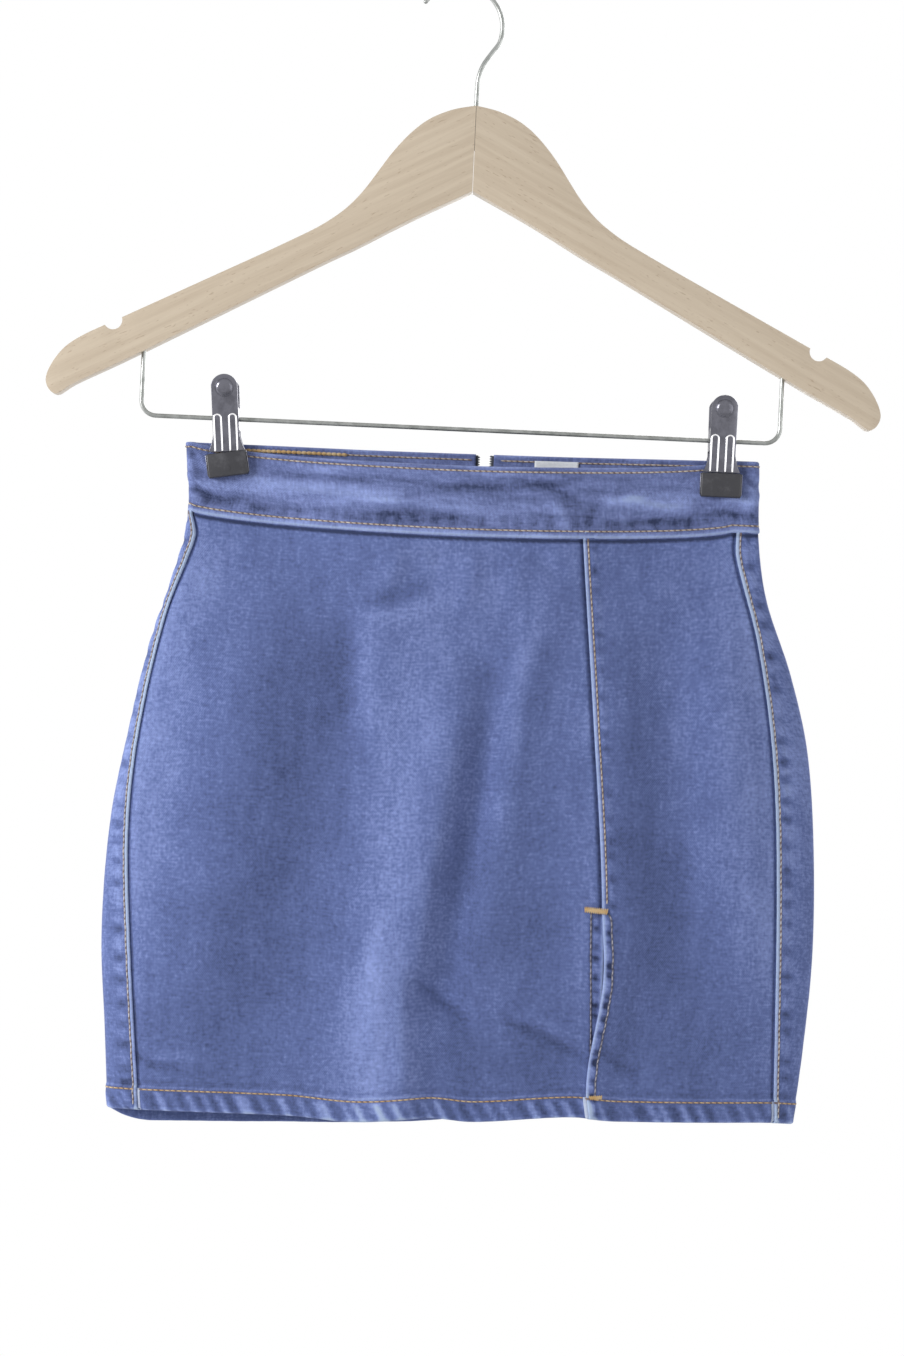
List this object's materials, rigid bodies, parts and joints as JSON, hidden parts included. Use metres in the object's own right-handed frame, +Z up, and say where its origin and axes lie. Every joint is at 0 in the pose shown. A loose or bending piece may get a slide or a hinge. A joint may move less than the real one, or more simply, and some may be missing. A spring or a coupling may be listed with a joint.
{
  "type": "denim skirt on a clip hanger",
  "caption": "Straight denim mini skirt with a waistband, front slit and back zip, hanging by two pinch clips from a wooden hanger with a wire hook.",
  "frame": {"origin": "inside top of the wire hook, where the hanger rests on its rail", "axes": "+Z up against gravity, -Y towards the front of the skirt, +X to the right as seen from the front; the hanger and skirt hang 2.6 degrees off level about Y"},
  "size_m": [0.4441, 0.0549, 0.6107],
  "materials": {
    "denim": "matt stretch denim twill, washed blue with pale wear along the seams",
    "denim_band": "matt denim twill, paler and streaked with wear",
    "label": "blank smooth woven label, slight sheen",
    "zip_tape": "matt dark woven tape",
    "zip_metal": "dull nickel",
    "hanger_wood": "pale wood, thin satin lacquer",
    "hanger_wire": "bright plated wire",
    "clip_metal": "dark bright plated sheet steel",
    "clip_rubber": "matt dark rubber"
  },
  "bodies": {
    "root": {"waistband": "denim_band", "front_panel": "denim", "side_front_panel": "denim", "back_panel_right": "denim", "back_panel_left": "denim", "inner_label": "label", "zip_tape_left": "zip_tape", "zip_tape_right": "zip_tape", "zip_slider": "zip_metal", "zip_bottom_stop": "zip_metal", "hanger_arm_left": "hanger_wood", "hanger_arm_right": "hanger_wood", "hanger_hook": "hanger_wire", "hanger_bar": "hanger_wire", "clip_left_plate_front": "clip_metal", "clip_left_plate_back": "clip_metal", "clip_left_jaw_front": "clip_rubber", "clip_left_jaw_back": "clip_rubber", "clip_left_spring": "clip_metal", "clip_right_plate_front": "clip_metal", "clip_right_plate_back": "clip_metal", "clip_right_jaw_front": "clip_rubber", "clip_right_jaw_back": "clip_rubber", "clip_right_spring": "clip_metal"},
    "pull_tab": {"zip_pull_tab": "zip_metal"}
  },
  "joints": [
    {"name": "pull_tab_hinge", "type": "hinge", "parent": "root", "child": "pull_tab", "pos_m": [0.01137, 0.01551, -0.29411], "axis": [0.999, 0, -0.0454], "range_deg": [0, 165]}
  ]
}
